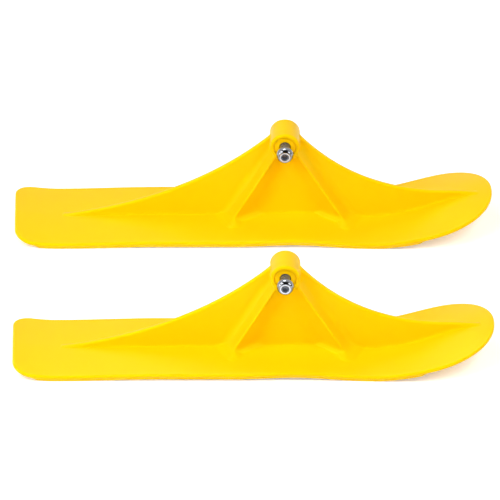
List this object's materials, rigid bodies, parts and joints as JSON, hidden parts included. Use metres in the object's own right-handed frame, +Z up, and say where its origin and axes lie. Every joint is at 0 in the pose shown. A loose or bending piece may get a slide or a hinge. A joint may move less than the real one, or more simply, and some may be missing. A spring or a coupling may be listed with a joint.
{
  "type": "scooter ski blade pair",
  "caption": "Pair of moulded ski blades with finned hubs, flanged bushings and removable axles that replace the wheels of a kick scooter for riding on snow.",
  "frame": {"origin": "on the ground under the middle of the pair's bounding box, the skis standing side by side on their soles", "axes": "+X towards the noses, +Y from the near (front) ski to the far (rear) ski, +Z up"},
  "size_m": [0.3799, 0.274, 0.0907],
  "materials": {
    "blade_plastic": "satin injection-moulded polyethylene, bright yellow",
    "bushing_plastic": "plain moulded nylon, the same yellow a little deeper",
    "spacer_steel": "turned steel",
    "axle_chrome": "bright nickel-chrome plate"
  },
  "bodies": {
    "ski_pair": {"front_ski_blade": "blade_plastic", "rear_ski_blade": "blade_plastic"},
    "front_bushing_set": {"front_near_bushing": "bushing_plastic", "front_far_bushing": "bushing_plastic", "front_spacer_tube": "spacer_steel"},
    "front_axle": {"front_axle_barrel": "axle_chrome", "front_axle_screw": "axle_chrome"},
    "rear_bushing_set": {"rear_near_bushing": "bushing_plastic", "rear_far_bushing": "bushing_plastic", "rear_spacer_tube": "spacer_steel"},
    "rear_axle": {"rear_axle_barrel": "axle_chrome", "rear_axle_screw": "axle_chrome"}
  },
  "joints": [
    {"name": "front_ski_pivot", "type": "hinge", "parent": "ski_pair", "child": "front_bushing_set", "pos_m": [0.025, -0.09325, 0.0787], "axis": [0, 1, 0], "continuous": true},
    {"name": "front_axle_slide", "type": "slide", "parent": "front_bushing_set", "child": "front_axle", "axis": [0, 1, 0], "range_m": [0, 0.0097]},
    {"name": "rear_ski_pivot", "type": "hinge", "parent": "ski_pair", "child": "rear_bushing_set", "pos_m": [0.025, 0.09325, 0.0787], "axis": [0, 1, 0], "continuous": true},
    {"name": "rear_axle_slide", "type": "slide", "parent": "rear_bushing_set", "child": "rear_axle", "axis": [0, 1, 0], "range_m": [0, 0.0097]}
  ]
}
